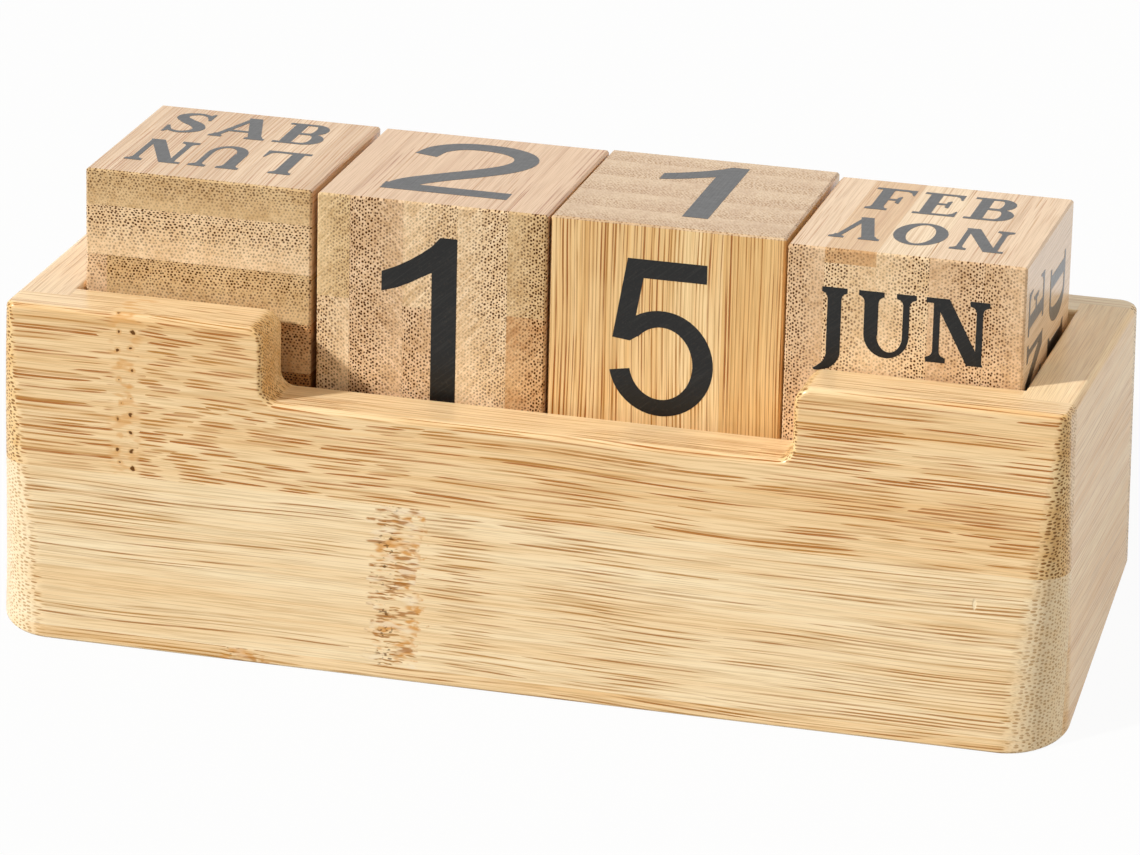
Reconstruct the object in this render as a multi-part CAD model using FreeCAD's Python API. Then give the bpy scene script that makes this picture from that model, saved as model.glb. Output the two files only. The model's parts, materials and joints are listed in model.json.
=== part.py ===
import FreeCAD, Part
import math
import os

# Perpetual desk calendar: a wedge-shaped bamboo tray that holds four loose bamboo blocks in a
# row. The blocks carry the weekday, the tens, the units and the month. The boards of the tray
# and the blocks are glued up from bamboo strips, and each strip is a solid of its own.
#
# Sizes are in millimetres. The model is drawn upright: X runs along the row, with zero at the
# middle of the cavity, Y runs back from the front wall of the cavity, and Z runs up along the
# blocks from the floor of the cavity. At the end everything leans back until the slanted
# underside of the tray lies flat, and the origin moves under the middle of the whole object.

# Blocks
block_side = 40.0
block_edge_chamfer = 0.35

# Seams inside the blocks, as shares of the side. Shares along X count from the left, shares
# along Y from the front and shares along Z from the top. A seam runs between two layers of
# strips, and a joint runs between the edges of two strips in one layer.
weekday_seam_shares = (0.156, 0.375, 0.594, 0.812)
weekday_joint_shares = (0.094, 0.819)
tens_seam_shares = (0.144, 0.378, 0.612, 0.831)
tens_joint_shares = (0.45, 0.455, 0.46, 0.475, 0.455)
units_seam_shares = (0.19, 0.41, 0.63, 0.85)
units_joint_share = 0.74
month_seam_shares = (0.156, 0.372, 0.594, 0.825)
month_joint_shares = {2: 0.0625, 3: 0.0625, 4: 0.09}

# Gaps that let the blocks be lifted out, from left to right, and from front to back
left_end_gap = 0.5
weekday_to_tens_gap = 1.1
tens_to_units_gap = 0.4
units_to_month_gap = 0.9
right_end_gap = 0.7
weekday_front_gap = 2.6
tens_front_gap = 2.2
units_front_gap = 2.8
month_front_gap = 0.5
rear_gap = 0.8

# Boards of the tray
front_board_thickness = 11.0
side_and_back_board_thickness = 9.4
front_board_height = 60.0
rim_above_floor = 19.4
corner_rabbet_depth = 4.3
floor_panel_thickness = 8.0
floor_groove_depth = 3.0
lean_back_degrees = 12.4

# Share of the front board's height that its thin bottom strip takes. The two strips above it
# are equally wide and share the rest.
bottom_strip_share = 0.0433

# How much wider each end of the tray is at the foot of the front board than at the rim
left_side_flare = 3.2
right_side_flare = 1.0

# Notch in the front board, which shows the two day blocks and lets a finger reach them
notch_width = 91.0
notch_floor_above_floor = 6.4
notch_top_corner_radius = 3.0
notch_bottom_corner_radius = 2.6

# Rounded corners and edges of the tray
front_corner_radius_at_rim = 2.0
front_corner_radius_at_base = 10.5
rear_corner_radius = 3.5
outer_edge_radius = 1.1
inner_edge_radius = 0.6
base_edge_radius = 0.5

# How far a cutting solid runs past what it cuts, and how near two places are to count as one
overrun = 5.0
match_tolerance = 0.005

# Sizes that follow from the ones above
side_by_side_gaps = (left_end_gap, weekday_to_tens_gap, tens_to_units_gap, units_to_month_gap, right_end_gap)
cavity_length = sum(side_by_side_gaps) + 4 * block_side
cavity_depth = units_front_gap + block_side + rear_gap
cavity_left = -cavity_length / 2
cavity_right = cavity_length / 2
tray_left = cavity_left - side_and_back_board_thickness
tray_right = cavity_right + side_and_back_board_thickness
tray_front = -front_board_thickness
tray_back = cavity_depth + side_and_back_board_thickness
base_at_front = rim_above_floor - front_board_height
base_at_back = base_at_front + (tray_back - tray_front) * math.tan(math.radians(lean_back_degrees))
board_strip_width = front_board_height * (1 - bottom_strip_share) / 2
notch_left = -notch_width / 2
notch_right = notch_width / 2
upper_seam = rim_above_floor - board_strip_width
lower_seam = upper_seam - board_strip_width


def point(x, y, z):
    return FreeCAD.Vector(x, y, z)


def cuboid(low, high):
    """A box between its lowest and its highest corner."""
    size = high - low
    return Part.makeBox(size.x, size.y, size.z, low)


def prism(corners, sweep):
    """A flat outline through the corners, swept into a solid."""
    outline = Part.makePolygon(corners + [corners[0]])
    return Part.Face(outline).extrude(sweep)


def same_place(value, target):
    return abs(value - target) < match_tolerance


def flat_at(low, high, target):
    """True where a span from low to high has no length and lies at the target."""
    return same_place(low, target) and same_place(high, target)


def outer_wedge():
    """The outside of the tray: a front outline swept back, then cut off along the base."""
    front_view = [
        point(tray_left - left_side_flare, tray_front, base_at_front),
        point(tray_right + right_side_flare, tray_front, base_at_front),
        point(tray_right, tray_front, rim_above_floor),
        point(tray_left, tray_front, rim_above_floor),
    ]
    whole = prism(front_view, point(0, tray_back - tray_front, 0))
    start = tray_left - left_side_flare - overrun
    below_base = [
        point(start, tray_front, base_at_front),
        point(start, tray_back, base_at_back),
        point(start, tray_back, base_at_front),
    ]
    end = tray_right + right_side_flare + overrun
    return whole.cut(prism(below_base, point(end - start, 0, 0)))


def corner_edges(solid, y):
    """The two corner edges of the outside that run from the rim to the base at this Y."""
    edges = []
    for edge in solid.Edges:
        box = edge.BoundBox
        reaches_rim = same_place(box.ZMax, rim_above_floor)
        stays_on_rim = same_place(box.ZMin, rim_above_floor)
        if flat_at(box.YMin, box.YMax, y) and reaches_rim and not stays_on_rim:
            edges.append(edge)
    return edges


def round_front_corners(solid):
    """Round each front corner with a radius that grows from the rim down to the base."""
    for on_right in (False, True):
        edges = corner_edges(solid, tray_front)
        edge = next(edge for edge in edges if (edge.CenterOfMass.x > 0) == on_right)
        radii = [front_corner_radius_at_base, front_corner_radius_at_rim]
        if edge.Vertexes[0].Point.z > edge.Vertexes[-1].Point.z:
            radii.reverse()
        solid = solid.makeFillet(radii[0], radii[1], [edge])
    return solid


def underside_edges(solid):
    """The edges round the slanted underside."""
    underside = min(solid.Faces, key=lambda face: face.normalAt(0, 0).z)
    return underside.Edges


def notch_cutter():
    """The outline of the notch, rounded at its two top and two bottom corners, swept through."""
    top = rim_above_floor + overrun
    rim = rim_above_floor
    floor = notch_floor_above_floor
    outer = notch_top_corner_radius
    inner = notch_bottom_corner_radius
    y = tray_front - overrun

    def arc(x, z, radius, start, end):
        circle = Part.Circle(point(x, y, z), point(0, -1, 0), radius)
        circle.XAxis = point(1, 0, 0)
        return Part.ArcOfCircle(circle, math.radians(start), math.radians(end)).toShape()

    def line(x1, z1, x2, z2):
        return Part.makeLine(point(x1, y, z1), point(x2, y, z2))

    edges = [
        line(notch_left - outer, top, notch_left - outer, rim),
        arc(notch_left - outer, rim - outer, outer, 0, 90),
        line(notch_left, rim - outer, notch_left, floor + inner),
        arc(notch_left + inner, floor + inner, inner, 180, 270),
        line(notch_left + inner, floor, notch_right - inner, floor),
        arc(notch_right - inner, floor + inner, inner, 270, 360),
        line(notch_right, floor + inner, notch_right, rim - outer),
        arc(notch_right + outer, rim - outer, outer, 90, 180),
        line(notch_right + outer, rim, notch_right + outer, top),
        line(notch_right + outer, top, notch_left - outer, top),
    ]
    outline = Part.Wire(Part.__sortEdges__(edges))
    return Part.Face(outline).extrude(point(0, front_board_thickness + 2 * overrun, 0))


def opening_edges(solid, outside):
    """The edges of the rim and of the notch, on the outside or on the side of the cavity."""
    chosen = []
    wall = 0
    if outside:
        wall = tray_front
    for edge in solid.Edges:
        middle = edge.CenterOfMass
        box = edge.BoundBox
        beside_notch = abs(middle.x) < notch_right + notch_top_corner_radius
        above_notch_floor = box.ZMin > notch_floor_above_floor - match_tolerance
        round_notch = flat_at(box.YMin, box.YMax, wall) and beside_notch and above_notch_floor
        within_x = cavity_left - match_tolerance < middle.x < cavity_right + match_tolerance
        within_y = -match_tolerance < middle.y < cavity_depth + match_tolerance
        on_rim = flat_at(box.ZMin, box.ZMax, rim_above_floor)
        if round_notch or on_rim and (within_x and within_y) != outside:
            chosen.append(edge)
    return chosen


def tray_ring():
    """The four walls of the tray as one ring, before it is divided into boards."""
    body = round_front_corners(outer_wedge())
    body = body.makeFillet(rear_corner_radius, corner_edges(body, tray_back))
    body = body.makeFillet(base_edge_radius, underside_edges(body))
    hollow = cuboid(point(cavity_left, 0, base_at_front - overrun),
                    point(cavity_right, cavity_depth, rim_above_floor + overrun))
    body = body.cut(hollow).cut(notch_cutter())
    body = body.makeFillet(outer_edge_radius, opening_edges(body, True))
    return body.makeFillet(inner_edge_radius, opening_edges(body, False))


def side_board_room(near_x, far_x):
    """The space of one side board, whose ends sit in rabbets of the front and back boards."""
    return cuboid(point(near_x, -corner_rabbet_depth, base_at_front - overrun),
                  point(far_x, cavity_depth + corner_rabbet_depth, rim_above_floor + overrun))


def front_to_back_room(near_y, far_y):
    """The space between two places along Y, wider and taller than the tray."""
    return cuboid(point(tray_left - left_side_flare - overrun, near_y, base_at_front - overrun),
                  point(tray_right + right_side_flare + overrun, far_y, rim_above_floor + overrun))


def level_room(bottom, top):
    """The space between two heights, wider and deeper than the tray."""
    return cuboid(point(tray_left - left_side_flare - overrun, tray_front - overrun, bottom),
                  point(tray_right + right_side_flare + overrun, tray_back + overrun, top))


def floor_panel():
    """The raised floor that the blocks stand on, with its edges in a groove all round."""
    return cuboid(point(cavity_left - floor_groove_depth, -floor_groove_depth, -floor_panel_thickness),
                  point(cavity_right + floor_groove_depth, cavity_depth + floor_groove_depth, 0))


def floor_strips():
    """The two strips of the floor panel, side by side and as long as the panel."""
    panel = floor_panel()
    front_half = front_to_back_room(tray_front, cavity_depth / 2)
    return {
        "floor_front_strip": panel.common(front_half),
        "floor_rear_strip": panel.cut(front_half),
    }


def board_strips():
    """The strips of the four boards, cut from one ring so that rounded edges run on across them."""
    ring = tray_ring().cut(floor_panel())
    left_room = side_board_room(tray_left - left_side_flare - overrun, cavity_left)
    right_room = side_board_room(cavity_right, tray_right + right_side_flare + overrun)
    long_boards = ring.cut(left_room).cut(right_room)
    front_half = front_to_back_room(tray_front - overrun, cavity_depth / 2)
    boards = {
        "front_board": long_boards.common(front_half),
        "back_board": long_boards.cut(front_half),
        "left_board": ring.common(left_room),
        "right_board": ring.common(right_room),
    }
    upper_room = level_room(upper_seam, rim_above_floor + overrun)
    strips = {}
    for name, board in boards.items():
        strips[name + "_upper_strip"] = board.common(upper_room)
        strips[name + "_lower_strip"] = board.cut(upper_room)
    bottom_room = level_room(base_at_front - overrun, lower_seam)
    lower_strip = strips["front_board_lower_strip"]
    strips["front_board_lower_strip"] = lower_strip.cut(bottom_room)
    strips["front_board_bottom_strip"] = lower_strip.common(bottom_room)
    return strips


def eased_block(corner):
    """One whole block with its sharp edges sanded off, standing with its lowest corner here."""
    block = cuboid(corner, corner + point(block_side, block_side, block_side))
    return block.makeChamfer(block_edge_chamfer, block.Edges)


def slices(corner, axis, shares):
    """The rooms on either side of each seam across a block, in the order that its shares count."""
    places = [-overrun] + [share * block_side for share in shares] + [block_side + overrun]
    rooms = []
    for near, far in zip(places, places[1:]):
        if axis == "z":
            near, far = block_side - far, block_side - near
        low = corner - point(overrun, overrun, overrun)
        high = corner + point(block_side + overrun, block_side + overrun, block_side + overrun)
        setattr(low, axis, getattr(corner, axis) + near)
        setattr(high, axis, getattr(corner, axis) + far)
        rooms.append(cuboid(low, high))
    return rooms


def glued_block(name, corner, seam_axis, seam_shares, joint_axis, joints):
    """A block as its strips. joints gives the joint shares of each layer, which may be none."""
    words = {
        "x": {1: [""], 2: ["_left", "_right"], 3: ["_left", "_middle", "_right"]},
        "z": {1: [""], 2: ["_upper", "_lower"]},
    }
    block = eased_block(corner)
    strips = {}
    for number, layer_room in enumerate(slices(corner, seam_axis, seam_shares), 1):
        layer = block.common(layer_room)
        strip_rooms = slices(corner, joint_axis, joints[number])
        for word, strip_room in zip(words[joint_axis][len(strip_rooms)], strip_rooms):
            strips[f"{name}_{number}{word}"] = layer.common(strip_room)
    return strips


def row_of_blocks():
    """The strips of the four blocks, from left to right."""
    numbers = range(1, len(weekday_seam_shares) + 2)
    weekday_joints = {number: weekday_joint_shares for number in numbers}
    tens_joints = {number: (tens_joint_shares[number - 1],) for number in numbers}
    units_joints = {number: (units_joint_share,) for number in numbers}
    month_joints = {number: () for number in numbers}
    for number, share in month_joint_shares.items():
        month_joints[number] = (share,)
    weekday_left = cavity_left + left_end_gap
    tens_left = weekday_left + block_side + weekday_to_tens_gap
    units_left = tens_left + block_side + tens_to_units_gap
    month_left = units_left + block_side + units_to_month_gap
    strips = {}
    strips.update(glued_block("weekday_block_layer", point(weekday_left, weekday_front_gap, 0),
                              "z", weekday_seam_shares, "x", weekday_joints))
    strips.update(glued_block("tens_block_strip", point(tens_left, tens_front_gap, 0),
                              "x", tens_seam_shares, "z", tens_joints))
    strips.update(glued_block("units_block_layer", point(units_left, units_front_gap, 0),
                              "y", units_seam_shares, "x", units_joints))
    strips.update(glued_block("month_block_strip", point(month_left, month_front_gap, 0),
                              "x", month_seam_shares, "z", month_joints))
    return strips


def stand_on_base(pieces):
    """Lean everything back onto the slanted underside and move the origin under the middle."""
    hinge = point(0, tray_front, base_at_front)
    for shape in pieces.values():
        shape.rotate(hinge, point(1, 0, 0), -lean_back_degrees)
    box = Part.makeCompound(list(pieces.values())).optimalBoundingBox(False, False)
    shift = point(-(box.XMin + box.XMax) / 2, -(box.YMin + box.YMax) / 2, -box.ZMin)
    for shape in pieces.values():
        shape.translate(shift)
    print(f"overall {box.XLength:.2f} x {box.YLength:.2f} x {box.ZLength:.2f}, moved by {shift}")


def main():
    pieces = {}
    pieces.update(board_strips())
    pieces.update(floor_strips())
    pieces.update(row_of_blocks())
    stand_on_base(pieces)
    os.makedirs("parts", exist_ok=True)
    for name, shape in pieces.items():
        solids = shape.Solids
        print(f"{name}: {len(solids)} solid, volume {shape.Volume:.0f}, valid {shape.isValid()}")
        solids[0].exportStep(f"parts/{name}.step")


main()
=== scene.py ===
# %% [markdown]
# # A perpetual desk calendar in bamboo
# The real object is a bamboo tray that leans back a little. Four loose bamboo blocks stand in
# it, printed on all six faces with short weekday names, digits and short month names. The solids
# come ready made and stay as they are. This lesson adds what a solid can't show: the bamboo
# itself, strip by strip, and the thin black ink on the blocks.

# %% Load the fixed model
import json
import math
import random

import bmesh
import bpy
from mathutils import Matrix, Vector
from mathutils.geometry import delaunay_2d_cdt


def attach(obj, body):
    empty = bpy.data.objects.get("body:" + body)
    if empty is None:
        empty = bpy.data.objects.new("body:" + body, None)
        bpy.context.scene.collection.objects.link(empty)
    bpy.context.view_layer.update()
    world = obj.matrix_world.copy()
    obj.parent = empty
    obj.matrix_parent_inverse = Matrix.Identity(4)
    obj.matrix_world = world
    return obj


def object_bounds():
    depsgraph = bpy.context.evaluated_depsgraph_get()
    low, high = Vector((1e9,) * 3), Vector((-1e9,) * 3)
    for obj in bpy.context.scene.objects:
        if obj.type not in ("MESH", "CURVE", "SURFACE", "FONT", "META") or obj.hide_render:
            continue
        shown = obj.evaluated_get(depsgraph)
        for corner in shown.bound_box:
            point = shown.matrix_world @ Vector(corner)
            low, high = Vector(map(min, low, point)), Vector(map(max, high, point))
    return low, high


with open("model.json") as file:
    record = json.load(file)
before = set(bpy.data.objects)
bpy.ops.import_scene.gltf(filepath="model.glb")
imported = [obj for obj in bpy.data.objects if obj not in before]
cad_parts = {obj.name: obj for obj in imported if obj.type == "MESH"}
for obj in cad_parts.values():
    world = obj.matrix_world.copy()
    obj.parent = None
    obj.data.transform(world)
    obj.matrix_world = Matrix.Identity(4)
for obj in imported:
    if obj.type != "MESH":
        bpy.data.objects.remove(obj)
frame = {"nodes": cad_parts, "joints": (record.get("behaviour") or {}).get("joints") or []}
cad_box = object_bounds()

nodes = frame["nodes"]
to_mm = 1000  # from metres
size = [round(to_mm * side, 1) for side in cad_box[1] - cad_box[0]]
print("solids", len(nodes), "size in mm", size)

# %% [markdown]
# ## The camera
# A small product is often photographed from a metre away with a long lens, which keeps its
# parallel edges nearly parallel. The place, the turn and the lens were worked out from the
# edges of the four blocks, which are cubes and so give all three at once. The picture is
# 1140 pixels wide, and the lens length follows from the width of Blender's sensor.

# %% The camera
picture_width = 1140
focal_length_in_pixels = 6245
camera_place = (0.25674, -0.87326, 0.58291)
camera_turn_degrees = (58.714, 1.975, 15.122)


def add_object(name, data):
    """A new object with this data."""
    thing = bpy.data.objects.new(name, data)
    bpy.context.collection.objects.link(thing)
    return thing


camera_data = bpy.data.cameras.new("camera")
camera_data.sensor_width = 36
camera_data.lens = camera_data.sensor_width * focal_length_in_pixels / picture_width
camera = add_object("camera", camera_data)
camera.location = camera_place
camera.rotation_euler = [math.radians(angle) for angle in camera_turn_degrees]
bpy.context.scene.camera = camera
print("lens", round(camera_data.lens, 1), "mm")

# %% [markdown]
# ## The light
# One distant lamp at the upper left throws the slanting shadow of the notch onto the blocks. It
# is a Sun lamp with a wide disc, so that its shadows have a soft edge. A weak one from the right,
# so wide that its shadows vanish, lights the rounded corner and the side. A pale world fills in
# the shadows, more from the right and behind, as a white wall there would. All are set so that
# the front and the tops show about the colours written in their materials. The world looks
# white to the camera and in reflections, which costs the object no extra light. The materials
# and the world are node trees, so a small class does the wiring: most of its methods add a node
# and give back its output.

# %% The lamp and the world
lamps = {
    "key_lamp": dict(energy=3.35, angle=4, direction=(-0.676, -0.410, 0.613), tint=(1, 1, 1)),
    "side_lamp": dict(energy=0.5, angle=60, direction=(0.96, -0.20, 0.20), tint=(1, 0.92, 0.82)),
}
for name, light in lamps.items():
    lamp_data = bpy.data.lights.new(name, "SUN")
    lamp_data.energy = light["energy"]
    lamp_data.angle = math.radians(light["angle"])
    lamp_data.color = light["tint"]
    lamp = add_object(name, lamp_data)
    lamp.rotation_euler = Vector(light["direction"]).to_track_quat("Z", "Y").to_euler()

fill_strength = 0.365
fill_change = 0.39
fill_colour = (1.0, 0.95, 0.89, 1)
brightest_side = Vector((0.8, 0.52, 0.3)).normalized()
white = (1, 1, 1, 1)


class Wiring:
    """Adds nodes to a node tree and joins them. A value may be a number or a socket, and a kind
    is the name of a node's type without its first part, ShaderNode."""

    def __init__(self, tree):
        self.tree = tree
        tree.nodes.clear()

    def join(self, value, socket):
        if isinstance(value, bpy.types.NodeSocket):
            self.tree.links.new(value, socket)
        else:
            socket.default_value = value

    def node(self, kind):
        return self.tree.nodes.new("ShaderNode" + kind)

    def add(self, kind, inputs, output=0, **settings):
        """A node with these inputs and settings. Gives the output asked for."""
        node = self.node(kind)
        for name, value in settings.items():
            setattr(node, name, value)
        for key, value in inputs.items():
            self.join(value, node.inputs[key])
        return node.outputs[output]

    def show(self, shader, kind="Material"):
        """Join the last shader to the output of the tree."""
        output = self.node("Output" + kind)
        self.join(shader, output.inputs["Surface"])

    def math(self, operation, *values, clamp=False):
        return self.add("Math", dict(enumerate(values)), operation=operation, use_clamp=clamp)

    def plus(self, first, second):
        return self.math("ADD", first, second)

    def minus(self, first, second):
        return self.math("SUBTRACT", first, second)

    def greater(self, first, second):
        return self.math("MAXIMUM", first, second)

    def times(self, product, *others):
        for other in others:
            product = self.math("MULTIPLY", product, other)
        return product

    def times_plus(self, value, factor, extra, clamp=False):
        return self.math("MULTIPLY_ADD", value, factor, extra, clamp=clamp)

    def vector_math(self, operation, first, second=None, output="Vector"):
        inputs = {0: first} if second is None else {0: first, 1: second}
        return self.add("VectorMath", inputs, output, operation=operation)

    def vector(self, x, y, z):
        return self.add("CombineXYZ", {0: x, 1: y, 2: z})

    def parts(self, vector):
        node = self.node("SeparateXYZ")
        self.join(vector, node.inputs[0])
        return node.outputs

    def turned(self, vector, degrees, axis):
        inputs = {"Vector": vector, "Angle": math.radians(degrees)}
        return self.add("VectorRotate", inputs, rotation_type=axis)

    def step(self, value, start, end, low=0.0, high=1.0):
        """A smooth step from low at start to high at end."""
        inputs = {0: value, 1: start, 2: end, 3: low, 4: high}
        return self.add("MapRange", inputs, interpolation_type="SMOOTHSTEP")

    def noise(self, place, detail=1.0, output=0):
        inputs = {"Vector": place, "Scale": 1.0, "Detail": detail}
        return self.add("TexNoise", inputs, output)

    def mix(self, share, first, second, blend_type="MIX"):
        """Two colours mixed. share is how much there is of the second."""
        node = self.node("Mix")
        node.data_type = "RGBA"
        node.blend_type = blend_type
        for key, value in (("Factor_Float", share), ("A_Color", first), ("B_Color", second)):
            socket = next(s for s in node.inputs if s.identifier == key)
            self.join(value, socket)
        return next(s for s in node.outputs if s.identifier == "Result_Color")


def wiring_of(owner):
    """Wiring for the nodes of a material or a world."""
    owner.use_nodes = True
    return Wiring(owner.node_tree)


def seen_directly(wiring):
    """1 for what the camera sees straight or in gloss or glass, 0 for light on the object."""
    path = wiring.node("LightPath").outputs
    straight = wiring.greater(path["Is Camera Ray"], path["Is Glossy Ray"])
    return wiring.greater(straight, path["Is Transmission Ray"])


world = bpy.data.worlds.new("pale_studio")
sky = wiring_of(world)
sky_direction = sky.node("TexCoord").outputs["Generated"]
towards = sky.vector_math("DOT_PRODUCT", sky_direction, brightest_side, output="Value")
fill_here = sky.times_plus(towards, fill_change, fill_strength)
fill = sky.add("Background", {"Color": fill_colour, "Strength": fill_here})
backdrop = sky.add("Background", {"Color": white, "Strength": 1.0})
sky.show(sky.add("MixShader", {0: seen_directly(sky), 1: fill, 2: backdrop}), "World")
bpy.context.scene.world = world
bpy.context.scene.view_settings.view_transform = "Standard"
print("lamps", len(lamps), "fill light", fill_strength)

# %% [markdown]
# ## The floor
# A product shot on white has a floor that melts into the background but still holds a faint
# shadow. A matt floor throws light back at the object, and the photo shows that little comes
# from below, so the floor is a middling grey. For the camera it is mixed with a plain white
# glow, which lights nothing. The shadow stays, only lighter.

# %% The floor
floor_reach = 4.0
floor_grey = (0.35, 0.35, 0.34, 1)
glow_strength = 1.05
most_glow = 0.9

floor_mesh = bmesh.new()
bmesh.ops.create_grid(floor_mesh, x_segments=1, y_segments=1, size=floor_reach)
floor_data = bpy.data.meshes.new("floor")
floor_mesh.to_mesh(floor_data)
floor_mesh.free()
floor = add_object("floor", floor_data)

floor_material = bpy.data.materials.new("floor_white")
ground = wiring_of(floor_material)
matt = ground.add("BsdfDiffuse", {"Color": floor_grey})
glow = ground.add("Emission", {"Color": white, "Strength": glow_strength})
glow_share = ground.times(seen_directly(ground), most_glow)
ground.show(ground.add("MixShader", {0: glow_share, 1: matt, 2: glow}))
floor_data.materials.append(floor_material)
print("floor", 2 * floor_reach, "m wide")

# %% [markdown]
# ## The lean
# The whole calendar leans back, and so do the fibres of the bamboo and the print. The slide
# joints of the blocks run along the lean, so their direction gives it. Turning a point the other
# way stands it upright, where each strip is a plain box with its sides along the axes.

# %% The lean
slide = frame["joints"][0]["axis"]
lean = math.atan2(slide[1], slide[2])
stand_up = Matrix.Rotation(lean, 4, "X")
lean_back = stand_up.inverted()


def upright_box(names):
    """The lowest and highest corner that these solids reach when they are stood upright."""
    points = [stand_up @ v.co for name in names for v in nodes[name].data.vertices]
    low = Vector([min(point[axis] for point in points) for axis in range(3)])
    high = Vector([max(point[axis] for point in points) for axis in range(3)])
    return low, high


print("lean", round(math.degrees(lean), 2), "degrees")

# %% [markdown]
# ## How bamboo is drawn
# A bamboo stalk is a tube of pale flesh with thin dark fibre bundles running along it, close
# together at the skin and further apart inside. A strip cut from it shows the bundles as dots
# on its ends and as lines on its sides. A picture wrapped round the strip could never make
# both agree at an edge, so the pattern here is solid: dots drawn in the plane across the grain
# and drawn out along it. Where the bundles dive at a slight angle to the surface, the lines
# break up into short dashes with pointed ends, as on the front of the real tray.
#
# The pattern is one node group, so that every strip shares its nodes and sets only its own
# place, tones and fibres. Place is in millimetres: X across the strip, Y in from the skin side and
# Z along the grain. Ends says how squarely the surface cuts the grain.

# %% The bamboo node group
bamboo = bpy.data.node_groups.new("bamboo", "ShaderNodeTree")
number_inputs = (
    "Ends", "Depth", "Dive", "Wander", "Knot", "Pits", "Patches", "Fan", "Bundles", "Bold", "Saw",
)
group_sockets = {
    "INPUT": {"Place": "Vector", "Seed": "Vector", **dict.fromkeys(number_inputs, "Float"),
              **dict.fromkeys(("Pale", "Warm", "Fibre", "Pore"), "Color")},
    "OUTPUT": {"Colour": "Color", "Height": "Float", "Roughness": "Float", "Gloss": "Float"},
}
for side, sockets in group_sockets.items():
    for name, kind in sockets.items():
        bamboo.interface.new_socket(name=name, in_out=side, socket_type="NodeSocket" + kind)
w = Wiring(bamboo)
given = bamboo.nodes.new("NodeGroupInput").outputs
ends = given["Ends"]
across, inward, along = w.parts(given["Place"])
seed_x, seed_y, seed_z = w.parts(given["Seed"])


def stretched(x_size, y_size, z_size):
    """The place of the pattern with one unit made as long as each size, moved by the seed."""
    return w.vector(w.times_plus(across, 1 / x_size, seed_x),
                    w.times_plus(inward, 1 / y_size, seed_y),
                    w.times_plus(along, 1 / z_size, seed_z))


def length(x, y):
    """How far two numbers at right angles reach."""
    return w.math("SQRT", w.plus(w.math("POWER", x, 2.0), w.math("POWER", y, 2.0)))


def chances(x, y, z):
    """Three chance numbers from 0 to 1 for each cell with these whole numbers."""
    return w.parts(w.add("TexWhiteNoise", {"Vector": w.vector(x, y, z)}, "Color"))


def around_zero(value):
    return w.minus(value, 0.5)


# %% [markdown]
# ### The way the bundles run
# The bundles bend slowly. Round a knot they crumple, and beyond it they dive steeply and level
# out again, further on one side than on the other. All of this only shifts the place at which
# the dots are looked up.

# %% The way the bundles run
reach_before_knot = 8.0
reach_past_knot = 34.0
slant_of_fan = 0.7
sway_width = 3.5  # mm, like every length in the pattern
crumple_across = 0.8
crumple_inward = 0.9
pits_crumple = 0.3
ragged_reach = 9.0
band_edges = (4.8, 3.1)

sway = w.parts(w.noise(stretched(25, 25, 60), output=1))
ripple = w.noise(stretched(2.2, 3, 30))
crumple = w.parts(w.noise(stretched(1.8, 1.8, 1.8), output=1))
ragged = w.noise(stretched(1.1, 1.1, 1.6), detail=2)

from_knot = w.minus(along, given["Knot"])
past_knot = w.math("GREATER_THAN", from_knot, 0.0)
knot_distance = w.math("ABSOLUTE", from_knot)
knotted = w.greater(w.times(given["Pits"], pits_crumple), given["Patches"])
near_knot = w.times(w.step(knot_distance, 5.0, 1.5), knotted)
knot_edge = w.times_plus(around_zero(ragged), ragged_reach, knot_distance)
in_band = w.times(w.step(knot_edge, *band_edges), given["Patches"])

reach = w.times_plus(past_knot, reach_past_knot - reach_before_knot, reach_before_knot)
fading = w.math("EXPONENT", w.times(w.math("DIVIDE", knot_distance, reach), -1.0))
fanned = w.times(w.minus(1.0, fading), reach, given["Fan"])
bent_across = w.times_plus(around_zero(sway[0]), sway_width, across)
bent_across = w.times_plus(w.times(fanned, past_knot), slant_of_fan, bent_across)
bent_across = w.times_plus(w.times(around_zero(crumple[0]), near_knot),
                           crumple_across, bent_across)
dive = w.times_plus(along, given["Dive"], fanned)
wander = w.times(w.plus(around_zero(sway[1]), around_zero(ripple)), given["Wander"])
bent_inward = w.plus(inward, w.plus(dive, wander))
bent_inward = w.times_plus(w.times(around_zero(crumple[1]), near_knot),
                           crumple_inward, bent_inward)

# %% [markdown]
# ### The bundles
# Across the grain the bundles stand in staggered rows, each a little off its place. Every
# second row is moved by half a step, a White Noise texture gives each cell its own chance
# numbers, and the distance to the shifted middle of the cell makes a round dot. Chance also makes
# some bundles thicker and darker, and near the skin all of them are darker.

# %% The bundles
bundle_step = 0.64
row_step = 0.54
bundle_jitter = 0.5
bundle_radius = 0.17
bundle_softness = 0.035
crowding = 0.5
crowded_depth = 1.2
darkness_deep_inside = 0.3
sawn_open_depths = (0.2, 1.2)
sawn_open_fade = 0.3
quiet_by_pits = 0.8

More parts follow.
